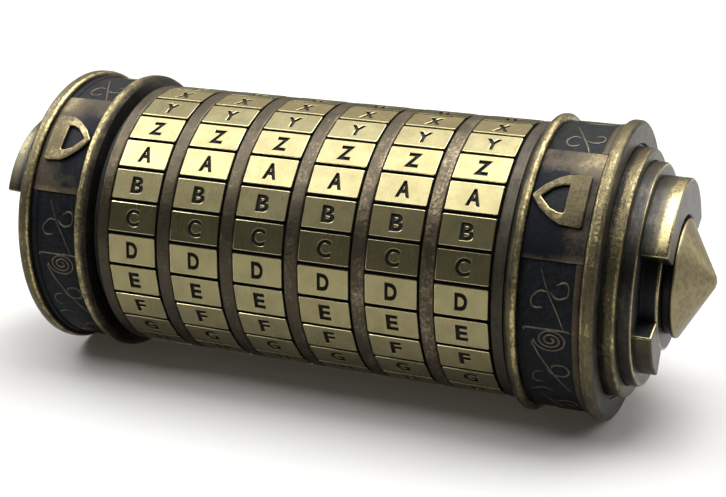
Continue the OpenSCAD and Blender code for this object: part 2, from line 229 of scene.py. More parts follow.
def tile_metal():
    """Brushed brass of a tile. Attribute tile holds mm across and up from its middle, and its number."""
    n = Nodes("letter_brass")
    u, v, k = n.split(n.attr("tile").outputs["Vector"])
    half_w, half_h = TILE_W / 2, FLAT * math.tan(math.radians(STEP / 2)) - GROOVE_W / 2
    edge_u = n.math("SUBTRACT", half_w, n.math("ABSOLUTE", u))
    edge_v = n.math("SUBTRACT", half_h, n.math("ABSOLUTE", v))
    edge = n.math("MINIMUM", edge_u, edge_v)
    strokes = n.join(n.math("MULTIPLY", u, 7.0), n.math("MULTIPLY", v, 0.22), n.math("MULTIPLY", k, 3.7))
    streak = n.noise(strokes, 1.0, 4.0, 0.62)
    soft = n.noise(n.mm, 0.35, 4.0, 0.6)
    grit = n.noise(n.mm, 4.0, 4.0, 0.6)
    # the edges are rubbed bright, except the one next to the following collar, which is painted dark as shade
    # from the gap there
    rim = n.ramp(n.around(grit, 0.35, edge), 0.02, 0.22, 1.0, 0.0)
    painted_shade_right_edge = n.ramp(u, half_w - 0.2, half_w - 0.08, 0.0, 0.85)
    shade = n.math("MULTIPLY_ADD", streak, 0.2, n.math("MULTIPLY", soft, 0.8))
    f = n.ramp(shade, 0.28, 0.72)
    # a number from 0 to 1 that differs from tile to tile
    tone = n.math("FRACT", n.math("MULTIPLY", n.math("SINE", n.math("MULTIPLY", k, 12.9898)), 43758.5))
    col = n.mix(f, rgb(0.203, 0.176, 0.090), rgb(0.272, 0.240, 0.124))
    col = n.mix(n.math("MULTIPLY", tone, 0.22), col, rgb(0.180, 0.156, 0.080))
    col = n.mix(n.math("MULTIPLY", rim, 0.7), col, rgb(0.60, 0.55, 0.34))
    # painted shade along each tile's right edge, beside the gap to the next collar
    col = n.mix(painted_shade_right_edge, col, rgb(0.07, 0.060, 0.034))
    grime = n.ramp(n.math("MULTIPLY_ADD", grit, 0.8, n.math("MULTIPLY", soft, 0.4)), 0.70, 0.86)
    col = n.mix(n.math("MULTIPLY", grime, 0.40), col, rgb(0.09, 0.077, 0.042))
    r = n.math("MULTIPLY_ADD", rim, -0.08, n.around(streak, 0.06, 0.265))
    return n.finish(col, r, n.bump(streak, 0.06, 0.00005))


def paint(name, colour, rough, grain=0.3, specular=0.5):
    """A dull, dark coat with slightly lighter patches."""
    n = Nodes(name)
    f = n.noise(n.mm, 1.5, 5.0, 0.6)
    g = n.noise(n.mm, 8.0, 3.0, 0.6)
    lighter = [c * 1.9 + 0.004 for c in colour]
    col = n.mix(n.ramp(f, 0.35, 0.7), rgb(*colour), rgb(*lighter))
    return n.finish(col, n.around(g, 0.3, rough), n.bump(g, grain, 0.00008), 0.0, specular)


M_TILE = tile_metal()
M_INK = paint("letter_ink", (0.004, 0.004, 0.0035), 0.75, 0.3, 0.2)
# antiqued metals: rubbed, plain and hollow colours, roughness, streak, grain
M_BRONZE = antique("dark_bronze", (0.235, 0.190, 0.118), (0.057, 0.047, 0.032), (0.012, 0.011, 0.009),
                   0.33, 0.6, 1.9)
M_COLLAR = antique("end_bronze", (0.13, 0.11, 0.08), (0.050, 0.044, 0.034), (0.010, 0.010, 0.009), 0.50, 1.0)
M_CAP = antique("antique_brass", (0.42, 0.35, 0.168), (0.094, 0.078, 0.042), (0.017, 0.016, 0.015),
                0.35, 1.0, 2.5)
M_PANEL = antique("panel_patina", (0.145, 0.117, 0.068), (0.056, 0.046, 0.032), (0.008, 0.009, 0.0115),
                  0.55, 0.4, 1.3)
M_SHIELD = antique("shield_brass", (0.24, 0.197, 0.106), (0.056, 0.046, 0.026), (0.020, 0.017, 0.012),
                   0.42, 0.3, 1.6)
M_CROWN = antique("crown_brass", (0.30, 0.256, 0.130), (0.068, 0.059, 0.040), (0.021, 0.021, 0.022),
                  0.36, 0.8)
M_CONE = brushed("brushed_brass", (0.25, 0.208, 0.115), (0.140, 0.113, 0.062), 0.42, 0.3)
M_DARK = paint("dark_enamel", (0.0024, 0.0031, 0.0042), 0.52, 0.5, 0.085)
M_RELIEF = antique("relief_metal", (0.14, 0.122, 0.090), (0.062, 0.054, 0.041), (0.012, 0.012, 0.0115),
                   0.44, 0.2)
M_BLACK = paint("black_fibre", (0.008, 0.008, 0.008), 0.7)
M_TUBE = brushed("tube_brass", (0.66, 0.56, 0.31), (0.36, 0.30, 0.16), 0.28)
M_STEEL = brushed("turned_steel", (0.55, 0.54, 0.51), (0.27, 0.265, 0.25), 0.30)


# ---------------------------------------------------------------- meshes
SHARP = 32                                            # edges sharper than this stay crisp, in degrees


def make(name, verts, faces, mats, body, nodes, wear_and_shade=None, face_mats=None, sharp=SHARP, tile=None):
    """A piece that rides on body and replaces the nodes. wear and tile are attributes of its vertices."""
    me = bpy.data.meshes.new(name)
    me.from_pydata([tuple(v) for v in verts], [], faces)
    for m in mats:
        me.materials.append(m)
    if face_mats:
        me.polygons.foreach_set("material_index", face_mats)
    # the wear attribute holds worn and hollow spots, and in places painted shade and painted highlights
    if wear_and_shade:
        me.attributes.new("wear_and_shade", "FLOAT", "POINT").data.foreach_set("value", wear_and_shade)
    if tile:
        me.attributes.new("tile", "FLOAT_VECTOR", "POINT").data.foreach_set(
            "vector", [c for t in tile for c in t])
    bm = bmesh.new()
    bm.from_mesh(me)
    bmesh.ops.recalc_face_normals(bm, faces=bm.faces)
    bm.to_mesh(me)
    bm.free()
    me.polygons.foreach_set("use_smooth", [True] * len(me.polygons))
    me.set_sharp_from_angle(angle=math.radians(sharp))
    ob = bpy.data.objects.new(name, me)
    bpy.context.scene.collection.objects.link(ob)
    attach(ob, body)
    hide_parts(*nodes)
    return ob


STRAIGHT = 1.5                                        # radians of half a corner's angle that need no rounding


def rounded(profile, arc=4, guard=0.35):
    """Rounds each corner of a closed (r, x, q) profile to the radius q. Returns (r, x, wear), with the wear 1
    on a ridge, -1 in a hollow and 0 from the distance guard on."""
    n = len(profile)
    area = sum(profile[i][0] * profile[(i + 1) % n][1] - profile[(i + 1) % n][0] * profile[i][1]
               for i in range(n))
    out = []
    for i in range(n):
        r, x, q = profile[i][:3]
        p, a, b = Vector((r, x)), Vector(profile[i - 1][:2]), Vector(profile[(i + 1) % n][:2])
        da, db = a - p, b - p
        la, lb = da.length, db.length
        da, db = da / la, db / lb
        turn = da.x * db.y - da.y * db.x
        sign = -1.0 if turn * area > 0 else 1.0
        half = math.acos(max(-1, min(1, da.dot(db)))) / 2
        if q <= 0 or half > STRAIGHT:
            out.append((r, x, 0.0 if half > STRAIGHT else 0.6 * sign))
            continue
        t = min(q / math.tan(half), la * 0.45, lb * 0.45)
        q = t * math.tan(half)
        c = p + (da + db).normalized() * (q / math.sin(half))
        s, e = p + da * t, p + db * t
        g = min(guard, la * 0.5 - t)
        if g > 0.02:
            out.append((*(s + da * g), 0.0))
        for k in range(arc + 1):
            f = k / arc
            v = (s - c) * (1 - f) + (e - c) * f
            v = c + v.normalized() * q
            out.append((v.x, v.y, sign))
        g = min(guard, lb * 0.5 - t)
        if g > 0.02:
            out.append((*(e + db * g), 0.0))
    return out


def wobble(x, r, psi, amount):
    """Slight unevenness of a cast or hand-finished surface, in mm."""
    if not amount:
        return 0.0
    p = at(x, r, psi) / MM
    return amount * (noise.noise(p * 0.16) + 0.5 * noise.noise(p * 0.45 + Vector((9, 3, 1))))


def lathe(name, profile, mat, body, nodes, shade, step, segs=192, amount=0.0, sign=1):
    """Turns a profile round the axis. shade(x, r, wear) sets the wear, step is the spacing of points along
    the profile, amount the unevenness, and sign -1 mirrors the piece in x."""
    pts = []
    ring = rounded(profile)
    for i, (r, x, w) in enumerate(ring):
        r1, x1, w1 = ring[(i + 1) % len(ring)]
        n = max(1, min(8, int(math.hypot(r1 - r, x1 - x) / step))) if min(r, r1) > 8 else 1
        pts += [(r + (r1 - r) * k / n, x + (x1 - x) * k / n, w + (w1 - w) * k / n) for k in range(n)]
    m = len(pts)
    verts, wear_and_shade = [], []
    for s in range(segs):
        psi = 360 * s / segs
        for r, x, w in pts:
            verts.append(at(sign * x, r + (wobble(x, r, psi, amount) if r > 0.01 else 0), psi))
            wear_and_shade.append(shade(x, r, w))
    faces = [(s * m + i, s * m + (i + 1) % m, ((s + 1) % segs) * m + (i + 1) % m, ((s + 1) % segs) * m + i)
             for s in range(segs) for i in range(m)]
    ob = make(name, verts, faces, [mat], body, nodes, wear_and_shade)
    bm = bmesh.new()
    bm.from_mesh(ob.data)
    bmesh.ops.remove_doubles(bm, verts=bm.verts, dist=1e-7)
    bm.to_mesh(ob.data)
    bm.free()
    return ob


def arc_block(a0, a1, r0, r1, x0, x1, q, verts, faces, wear_and_shade, shade):
    """A block with rounded outer edges that follows the arc from angle a0 to a1. shade(x, r, psi, edge) sets
    the wear; edge is 1 on the end faces and fades to 0 over the rounding."""
    rm = (r0 + r1) / 2
    ends = []                                         # angle and inset of the rows that round an end off
    for k in range(5):
        t = math.radians(22.5 * k)
        ends.append((a0 + math.degrees(q * (1 - math.cos(t)) / rm), q * (1 - math.sin(t))))
    first = a0 + math.degrees(q / rm)
    span = (a1 - a0) - 2 * math.degrees(q / rm)
    n = max(2, int(span / 2.0))
    rows = (ends + [(first + span * k / n, 0.0) for k in range(1, n)]
            + [(a1 - (p - a0), i) for p, i in reversed(ends)])
    base, m = len(verts), None
    for psi, inset in rows:
        qq = max(q - inset, 0.02)
        ring = rounded([(r0, x0, 0), (r1 - inset, x0, 0), (r1 - inset, x1 - inset, qq), (r0, x1 - inset, qq)],
                       3, 0.25)
        prof = []
        for i, (r, x, _) in enumerate(ring):
            r2, x2, _ = ring[(i + 1) % len(ring)]
            k = 5 if math.hypot(r2 - r, x2 - x) > 2 else 1
            prof += [(r + (r2 - r) * j / k, x + (x2 - x) * j / k) for j in range(k)]
        if m is None:
            m = len(prof)
        for r, x in prof[:m]:
            verts.append(at(x, r, psi))
            wear_and_shade.append(shade(x, r, psi, inset / q))
    for s in range(len(rows) - 1):
        for i in range(m):
            j = (i + 1) % m
            faces.append((base + s * m + i, base + s * m + j, base + (s + 1) * m + j, base + (s + 1) * m + i))
    faces.append(tuple(base + i for i in range(m)))
    faces.append(tuple(base + (len(rows) - 1) * m + i for i in range(m)))


# ---------------------------------------------------------------- letter tiles
CAP_HEIGHT, BOLD, BEVEL = 2.85, 0.10, 0.12            # letter height, what its strokes gain, a tile's edge
PLATE_T = 0.34                                        # a tile plate's thickness; its letter is cut through
PLATE_CORNER = 0.35
TILE_H = 2 * FLAT * math.tan(math.radians(STEP / 2)) - GROOVE_W
WIDTHS = dict(zip(ALPHABET, (2.15, 2.15, 2.4, 2.07, 1.96, 1.86, 2.25, 2.1, 0.45, 1.6, 2.15, 1.8, 2.5,
                             2.15, 2.35, 2.0, 2.35, 2.15, 2.0, 2.0, 2.1, 2.2, 3.0, 2.15, 2.15, 2.15)))


def letter_plate(ch, w, h):
    """A flat plate, w by h, with the letter cut right through it. Returns (verts, faces) in mm."""
    cu = bpy.data.curves.new("glyph", "FONT")
    cu.body = ch
    cu.resolution_u = 5
    ob = bpy.data.objects.new("glyph", cu)
    bpy.context.scene.collection.objects.link(ob)
    bpy.context.view_layer.objects.active = ob
    for o in bpy.context.selected_objects:
        o.select_set(False)
    ob.select_set(True)
    bpy.ops.object.convert(target="CURVE")
    glyph = ob.data
    pts = [p.co for s in glyph.splines for p in s.bezier_points]
    lo_x, hi_x = min(p.x for p in pts), max(p.x for p in pts)
    k = (CAP_HEIGHT - 2 * BOLD) / GLYPH_CAP
    kx = (WIDTHS[ch] - 2 * BOLD) / (hi_x - lo_x)
    plate = bpy.data.curves.new("plate", "CURVE")
    plate.dimensions = "2D"
    plate.fill_mode = "BOTH"
    plate.resolution_u = 5
    for s in glyph.splines:
        n = plate.splines.new("BEZIER")
        n.bezier_points.add(len(s.bezier_points) - 1)
        n.use_cyclic_u = True
        for a, b in zip(s.bezier_points, n.bezier_points):
            for name in ("co", "handle_left", "handle_right"):
                p = getattr(a, name)
                setattr(b, name, ((p.x - (lo_x + hi_x) / 2) * kx, (p.y - GLYPH_CAP / 2) * k, 0))
            b.handle_left_type = b.handle_right_type = "FREE"
    q = PLATE_CORNER
    cx, cy = (w + 2 * BOLD) / 2 - q, (h + 2 * BOLD) / 2 - q
    ring = []
    for side_x, side_y, a in ((1, 1, 0), (-1, 1, 90), (-1, -1, 180), (1, -1, 270)):
        for i in range(4):
            t = math.radians(a + 30 * i)
            ring.append((side_x * cx + q * math.cos(t), side_y * cy + q * math.sin(t)))
    n = plate.splines.new("POLY")
    n.points.add(len(ring) - 1)
    n.use_cyclic_u = True
    for p, (x, y) in zip(n.points, ring):
        p.co = (x, y, 0, 1)
    plate.bevel_depth = BEVEL
    plate.bevel_resolution = 1
    plate.offset = -BEVEL - BOLD
    plate.extrude = PLATE_T / 2 - BEVEL
    po = bpy.data.objects.new("plate", plate)
    bpy.context.scene.collection.objects.link(po)
    me = po.to_mesh()
    verts = [v.co.copy() for v in me.vertices]
    faces = [tuple(p.vertices) for p in me.polygons]
    po.to_mesh_clear()
    for o, c in ((po, plate), (ob, glyph)):
        bpy.data.objects.remove(o)
        bpy.data.curves.remove(c)
    return verts, faces


def glyph_cap_height():
    """Height of a capital letter of the built-in font at size 1."""
    cu = bpy.data.curves.new("cap", "FONT")
    cu.body = "H"
    ob = bpy.data.objects.new("cap", cu)
    bpy.context.scene.collection.objects.link(ob)
    me = ob.to_mesh()
    h = max(v.co.y for v in me.vertices)
    ob.to_mesh_clear()
    bpy.data.objects.remove(ob)
    bpy.data.curves.remove(cu)
    return h


GLYPH_CAP = glyph_cap_height()
PLATES = [letter_plate(ch, TILE_W - 0.06, TILE_H - 0.05) for ch in ALPHABET]


def build_dial(n):
    body, x0 = f"dial_{n + 1}", dial_x(n)
    # the collar's lip closes most of the gap to the dial before it
    lip, lip_r = 0.24 if n else 0.02, COLLAR_R - 1.2
    collar_x, back_x = x0 + COLLAR_W - DIAL_GAP, x0 + DIAL_W - DIAL_GAP

    def shade(x, r, w):
        if r < lip_r or x > x0 + COLLAR_W:
            return -0.7
        t = abs(x - x0 - COLLAR_W / 2 + DIAL_GAP) / (COLLAR_W / 2)
        painted_light_by_dial = 0.03 + 0.075 * n                    # painted light: the collars are lighter dial by dial towards the vault end
        # the edges of each collar are painted darker, as painted shade from the grooves beside them
        return painted_light_by_dial - 0.3 * step_up(t, 0.8, 1.0)

    lathe(f"dial_{n + 1}_collar",
          [(CODE_R, x0, 0.15), (lip_r, x0, 0), (lip_r, x0 - lip, 0), (COLLAR_R, x0 - lip, 0.3),
           (COLLAR_R, collar_x, 0.35), (SEAT_R, collar_x, 0), (SEAT_R, back_x, 0.15), (CODE_R, back_x, 0.15)],
          M_BRONZE, body, [f"dial_{n + 1}_body"], shade, 0.4, amount=0.03)
    # ring under the plates: black floors of the letters, grooves between the tiles
    verts, faces, mats, tile = [], [], [], []
    xa, xb = x0 + COLLAR_W, x0 + DIAL_W
    start = ROW + PLAY[n]
    floor, bottom = FLAT - PLATE_T + 0.01, FLAT - GROOVE_D
    half = STEP / 2 - math.degrees(math.asin(GROOVE_W / 2 / TILE_R))     # half a tile's angle
    outline = []
    for k in range(LETTERS):
        c = start + k * STEP
        for a, f in ((c - half, bottom), (c - half, floor), (c + half, floor), (c + half, bottom)):
            outline.append((f / math.cos(math.radians(a - c)), a))
    m = len(outline)
    for x in (xa, xb):
        for r, a in outline:
            verts.append(at(x, r, a))
            tile.append((0, 0, 0))
    for x in (xa, xb):
        for r, a in outline:
            verts.append(at(x, SEAT_R + 0.02, a))
            tile.append((0, 0, 0))
    for i in range(m):
        j = (i + 1) % m
        faces += [(i, j, m + j, m + i), (2 * m + i, 3 * m + i, 3 * m + j, 2 * m + j),
                  (i, 2 * m + i, 2 * m + j, j), (m + i, m + j, 3 * m + j, 3 * m + i)]
        mats += [1, 0, 0, 0]
    # plates, with the walls of their letters in black
    xm, rm = (xa + xb) / 2, FLAT - PLATE_T / 2
    for k, (pv, pf) in enumerate(PLATES):
        a = math.radians(start + k * STEP)
        out, up = Vector((0, -math.sin(a), math.cos(a))), Vector((0, math.cos(a), math.sin(a)))
        base = len(verts)
        seed = (n * 31 + k * 7) % 53
        for v in pv:
            verts.append((Vector((xm + v.x, 0, 0)) + up * v.y + out * (rm + v.z)) * MM)
            tile.append((v.x, v.y, seed))
        for f in pf:
            faces.append(tuple(base + i for i in f))
            mid = sum((pv[i] for i in f), Vector()) / len(f)
            nrm = (pv[f[1]] - pv[f[0]]).cross(pv[f[2]] - pv[f[0]])
            flat = abs(nrm.z) > 0.3 * nrm.length
            inner = abs(mid.x) < TILE_W / 2 - 0.5 and abs(mid.y) < TILE_H / 2 - 0.5
            mats.append(0 if flat or not inner else 1)
    make(f"dial_{n + 1}_tiles", verts, faces, [M_TILE, M_INK], body, [f"dial_{n + 1}_letters"],
         face_mats=mats, sharp=28, tile=tile)


# ---------------------------------------------------------------- caps
NOTCHES = (146, 336)                                  # psi of the notches behind the end plate
NOTCH_W, NOTCH_DEPTH, NOTCH_LENGTH = 3.0, 3.2, 6


def cut(ob, cutter):
    """Takes the cutter out of the object's mesh and deletes the cutter."""
    mod = ob.modifiers.new("notch", "BOOLEAN")
    mod.object, mod.operation, mod.solver = cutter, "DIFFERENCE", "EXACT"
    bpy.context.view_layer.update()
    mesh = bpy.data.meshes.new_from_object(ob.evaluated_get(bpy.context.evaluated_depsgraph_get()))
    ob.modifiers.clear()
    ob.data = mesh
    bpy.data.objects.remove(cutter)


def build_cap(side):
    c = CAPS[side]
    face, ox, s, body = c["face"], c["outer"], c["sign"], c["body"]
    cx = ox + OUTER_W

    def sleeve_wear(x, r, w):
        if r < BAND_R - 0.2:
            return -0.6 if x < cx - 0.1 else -0.45
        if x < face + FLANGE_W + 0.05:
            t = x - face
            edge = step_up(t, 0.6, 1.1) if s < 0 else step_up(t, 1.0, 1.5)
            return -0.2 + 0.75 * edge - 0.4 * step_up(t, 0.6, 0.2)
        t = x - ox
        line = step_up(abs(t - 0.28), 0.3, 0.1)
        return -0.1 + 0.9 * line + 0.32 * step_up(t, 0.5, 0.95) - 0.6 * step_up(t, 1.85, 2.2)

    lathe(f"{side}_cap_sleeve",
          [(CAVITY_R, face, 0.2), (24.2, face, 0.25), (FLANGE_R, face + 0.75, 0.8),
           (FLANGE_R, face + FLANGE_W, 0.75), (BAND_R - 0.7, face + FLANGE_W, 0.1), (BAND_R - 0.7, ox, 0.1),
           (FLANGE_R, ox, 0.7), (FLANGE_R, cx, 0.75), (RING_R + 0.5, cx, 0.3), (RING_R + 0.5, cx - 0.5, 0.12),
           (RING_R + 0.02, cx - 0.5, 0.05), (RING_R + 0.02, WALL_X, 0.1), (CAVITY_R, WALL_X, 0.3)],
          M_CAP, body, [f"{side}_cap"], sleeve_wear, 0.35, 256, 0.03, s)

    def plate_wear(x, r, w):
        if r < RING_R - 0.6:
            return -0.1 if x > RING_X - 0.1 else -0.7
        rim = (-0.7 + 0.85 * step_up(x, RING_X - 1.95, RING_X - 1.3)
               + 0.4 * step_up(x, RING_X - 0.6, RING_X - 0.25))
        return rim - 0.5 * step_up(x, RING_X - 0.12, RING_X)

    plate = lathe(f"{side}_end_disc",
                  [(STUD_HOLE_R, WALL_X, 0.2), (RING_R, WALL_X, 0.2), (RING_R, RING_X, 0.5),
                   (CROWN_BASE_R + 0.1, RING_X, 0.1), (CROWN_BASE_R + 0.1, RING_X - 0.5, 0.05),
                   (STUD_HOLE_R, RING_X - 0.5, 0.1)],
                  M_CAP, body, [f"{side}_end_plate"], plate_wear, 0.35, 256, 0.0, s)
    for psi in NOTCHES:
        bm = bmesh.new()
        bmesh.ops.create_cube(bm, size=1.0)
        for v in bm.verts:
            x = cx + 0.2 + (v.co.x + 0.5) * NOTCH_LENGTH
            v.co = at(s * x, RING_R + 0.2 + v.co.z * NOTCH_DEPTH,
                      psi + math.degrees(v.co.y * NOTCH_W / RING_R))
        bmesh.ops.recalc_face_normals(bm, faces=bm.faces)
        me = bpy.data.meshes.new("notch")
        bm.to_mesh(me)
        bm.free()
        cutter = bpy.data.objects.new("notch", me)
        bpy.context.scene.collection.objects.link(cutter)
        cut(plate, cutter)
    plate.data.set_sharp_from_angle(angle=math.radians(SHARP))


BEAD_R = 0.14                                         # half the width of a scroll line


def bead(path, base_r, verts, faces, wear_and_shade, sides=6):
    """A raised line of round section along a path of (x in mm, degrees), half sunk in the band."""
    pts = [at(x, base_r, psi) for x, psi in path]
    n = len(pts)
    base = len(verts)
    for i, p in enumerate(pts):
        d = (pts[min(i + 1, n - 1)] - pts[max(i - 1, 0)]).normalized()
        out = Vector((0, p.y, p.z)).normalized()
        across = d.cross(out).normalized()
        taper = min(1.0, 0.35 + 0.65 * min(i, n - 1 - i) / 4)
        for k in range(sides + 1):
            a = math.pi * k / sides
            verts.append(p + (across * math.cos(a) * 1.25 + out * math.sin(a)) * BEAD_R * taper * MM)
            wear_and_shade.append(-0.5 + 1.1 * math.sin(a))
        verts.append(p - out * 0.1 * MM)
        wear_and_shade.append(-0.7)
    m = sides + 2
    for i in range(n - 1):
        for k in range(m):
            j = (k + 1) % m
            faces.append((base + i * m + k, base + i * m + j, base + (i + 1) * m + j, base + (i + 1) * m + k))
    faces.append(tuple(base + k for k in range(m)))
    faces.append(tuple(base + (n - 1) * m + k for k in range(m)))


def smooth(points, per=6):
    """Catmull-Rom curve through the points."""
    p = [Vector(q) for q in points]
    p = [p[0] * 2 - p[1]] + p + [p[-1] * 2 - p[-2]]
    out = []
    for i in range(1, len(p) - 2):
        for k in range(per):
            t = k / per
            a, b, c, d = p[i - 1], p[i], p[i + 1], p[i + 2]
            square, cube = 2 * a - 5 * b + 4 * c - d, 3 * b - a - 3 * c + d
            out.append(0.5 * ((2 * b) + (c - a) * t + square * t * t + cube * t ** 3))
    out.append(p[-2])
    return [(q.x, q.y) for q in out]


def spiral(t, psi, rx, ry, turns, end, n=96):
    """Spiral about (t, psi) that winds out to the angle end, with half axes rx in mm and ry in degrees."""
    out = []
    for i in range(n + 1):
        f = i / n
        a = math.radians(end) - TAU * turns * (1 - f)
        q = 0.12 + 0.88 * f
        out.append((t + rx * q * math.cos(a), psi + ry * q * math.sin(a)))
    return out


def scroll_lines():
    """The scroll pattern: lines of (mm from the rosette's middle, degrees from the marker)."""
    # rosette with its tail running on down the band, and its twin on the far side
    tail = smooth([(-2.7, 54.6), (-2.85, 56.2), (-1.8, 61.8), (-0.6, 67.2), (0.9, 73.8), (2.6, 81.2)])
    rosette = spiral(0, 53.9, 2.7, 5.1, 2.75, 180) + tail
    tail = smooth([(-2.6, 86), (-1.2, 92), (0.3, 98), (1.6, 104), (2.45, 109.2)])
    twin = tail + spiral(0, 112, 2.45, 4.6, -2.75, -20)[::-1]
    return [
        # line with two hooks just below the panel
        smooth([(-2.0, 26.7), (-0.55, 35.3), (0.9, 42.2), (2.1, 49.5)]),
        smooth([(-0.4, 34.8), (0.9, 37.2), (2.4, 35.9), (2.6, 32.3), (1.75, 30.9), (0.6, 32.3)]),
        smooth([(-0.6, 35), (-1.95, 34.8), (-3.05, 37.2), (-3.2, 39.2), (-2.7, 41.2), (-1.4, 41)]),
        # bar across the band
        smooth([(-4.2, 51.0), (-4.15, 49.7), (-2.5, 49.6), (0.0, 49.6), (2.4, 49.6), (3.4, 50.3)]),
        rosette,
        smooth([(-0.9, 67.8), (0.1, 70.8), (2.0, 71.1), (2.75, 68.3), (2.0, 65.6), (0.3, 66), (-0.1, 68)]),
        smooth([(-1.5, 69.8), (-2.7, 70.3), (-3.3, 73), (-3.0, 75.8), (-1.6, 76)]),
        smooth([(-4.3, 83.3), (-2.9, 81.1), (-1.67, 80.3), (-0.14, 82.2)]),
        # the far side of the band
        twin,
        smooth([(-0.9, 93.5), (0.5, 90.6), (2.1, 90.4), (2.8, 93), (2.1, 95.6), (0.9, 95)]),
        smooth([(0.5, 99), (-1.2, 98.4), (-2.7, 100.5), (-2.9, 103.4), (-1.7, 104.6)]),
        smooth([(-4.1, 118.9), (-4.1, 117.6), (-2.4, 117.5), (0.0, 117.5), (2.4, 117.5), (3.3, 118.2)]),
        smooth([(-3.2, 122), (-1.8, 126.5), (0.2, 128.3), (2.1, 126.8), (2.8, 123.6), (1.9, 121.2),
                (0.5, 122.4)]),
        # line with two hooks just above the next panel
        smooth([(-2.85, 134.5), (-1.55, 141.1), (-0.35, 147.2), (0.6, 151.8), (1.3, 155.9)]),
        smooth([(-0.14, 147.8), (1.25, 149.4), (2.64, 148.3), (2.9, 145.6), (2.36, 143.9), (1.25, 144.4)]),
        smooth([(-0.97, 146.1), (-2.08, 145.8), (-2.86, 148.3), (-2.9, 150.6), (-2.2, 152.8), (-1.1, 152.4),
                (-0.7, 151.1)])]


def build_band(side):
    c = CAPS[side]
    s, body, mark = c["sign"], c["body"], c["mark"]
    x0, x1 = c["face"] + FLANGE_W + 0.05, c["outer"] - 0.05
    verts, faces, wear_and_shade, mats = [], [], [], []
    # the last part of the profile is a raised border next to the outer flange
    prof = [(BAND_R - 0.68, x0), (BAND_R - 0.06, x0), (BAND_R, x0 + 0.1), (BAND_R, (x0 + x1) / 2),
            (BAND_R, x1 - 1.2), (BAND_R + 0.18, x1 - 1.12), (BAND_R + 0.25, x1 - 1.0),
            (BAND_R + 0.25, x1 - 0.12), (BAND_R + 0.15, x1), (BAND_R - 0.68, x1)]
    m, n = len(prof), 130
    border = range(4, 8) if side == "right" else ()   # sides of the profile with the border's patina; on the left cap the border keeps the dark enamel, as painted shade behind the flange
    for half in (0, 180):
        base = len(verts)
        a0, a1 = mark + SPAN / 2 + half, mark + 180 - SPAN / 2 + half
        for i in range(n + 1):
            for r, x in prof:
                verts.append(at(s * x, r, a0 + (a1 - a0) * i / n))
                wear_and_shade.append(-0.1 if x > x1 - 0.2 or r < BAND_R + 0.1 else 0.35)
        for i in range(n):
            for j in range(m):
                k = (j + 1) % m
                mats.append(2 if j in border else 0)
                faces.append((base + i * m + j, base + i * m + k,
                              base + (i + 1) * m + k, base + (i + 1) * m + j))
        faces.append(tuple(base + j for j in range(m)))
        faces.append(tuple(base + n * m + j for j in range(m)))
        mats += [0, 0]
    lo, hi = sorted((s * (x0 + 0.25), s * (x1 - 1.35)))
    for half in (0, 180):
        for line in scroll_lines():
            path = [(max(lo, min(hi, c["rosette"] + t)), psi + mark + half) for t, psi in line]
            bead(path, BAND_R - 0.01, verts, faces, wear_and_shade)
    mats += [1] * (len(faces) - len(mats))
    make(f"{side}_scroll", verts, faces, [M_DARK, M_RELIEF, M_PANEL], body, [f"{side}_scroll_band"],
         wear_and_shade, mats, 40)


CELL = 0.7                                            # size of the cells that a curved plate is cut into


def curved_plate(outline, hole, r0, r1, q, verts, faces, wear_and_shade, place, shade):
    """Extrudes a flat outline in (mm across, mm round) between r0 and r1, with edges rounded to q, and bends
    it round the axis. place(x, y, r) gives a point's position and shade(x, y) its wear."""
    cu = bpy.data.curves.new("flat", "CURVE")
    cu.dimensions, cu.fill_mode = "2D", "BOTH"
    for ring in filter(None, (outline, hole)):
        sp = cu.splines.new("POLY")
        sp.points.add(len(ring) - 1)
        sp.use_cyclic_u = True
        for p, (x, y) in zip(sp.points, ring):
            p.co = (x, y, 0, 1)
    cu.bevel_depth, cu.bevel_resolution, cu.offset = q, 2, -q
    cu.extrude = (r1 - r0) / 2 - q
    ob = bpy.data.objects.new("flat", cu)
    bpy.context.scene.collection.objects.link(ob)
    me = bpy.data.meshes.new_from_object(ob)
    bpy.data.objects.remove(ob)
    bpy.data.curves.remove(cu)
    bm = bmesh.new()
    bm.from_mesh(me)
    bmesh.ops.remove_doubles(bm, verts=bm.verts, dist=1e-5)
    for axis in (0, 1):
        lo, hi = min(v.co[axis] for v in bm.verts), max(v.co[axis] for v in bm.verts)
        plane = Vector((1 - axis, axis, 0))
        for k in range(1, int((hi - lo) / CELL)):
            geom = list(bm.verts) + list(bm.edges) + list(bm.faces)
            bmesh.ops.bisect_plane(bm, geom=geom, plane_co=plane * (lo + CELL * k), plane_no=plane, dist=1e-6)
    bm.verts.ensure_lookup_table()
    base = len(verts)
    rm = (r0 + r1) / 2
    for v in bm.verts:
        verts.append(place(v.co.x, v.co.y, rm + v.co.z))
        depth = (r1 - r0) / 2 - v.co.z
        rounding = 0.55 if 0.02 < depth < q * 0.9 else 0.0
        foot = 0.9 if depth > q * 1.5 else 0.0
        wear_and_shade.append(shade(v.co.x, v.co.y) + rounding - foot)
    for f in bm.faces:
        faces.append(tuple(base + v.index for v in f.verts))
    bm.free()


def round_corners(points, q, arc=4):
    """Rounds the corners of a flat outline to the radius q."""
    out = []
    n = len(points)
    for i in range(n):
        p, a, b = Vector(points[i]), Vector(points[i - 1]), Vector(points[(i + 1) % n])
        da, db = a - p, b - p
        la, lb = da.length, db.length
        da, db = da / la, db / lb
        half = math.acos(max(-1, min(1, da.dot(db)))) / 2
        t = min(q / math.tan(half), la * 0.4, lb * 0.4)
        qq = t * math.tan(half)
        if half > STRAIGHT:
            out.append(tuple(p))
            continue
        c = p + (da + db).normalized() * (qq / math.sin(half))
        s, e = p + da * t, p + db * t
        for k in range(arc + 1):
            f = k / arc
            v = c + ((s - c) * (1 - f) + (e - c) * f).normalized() * qq
            out.append(tuple(v))
    return out


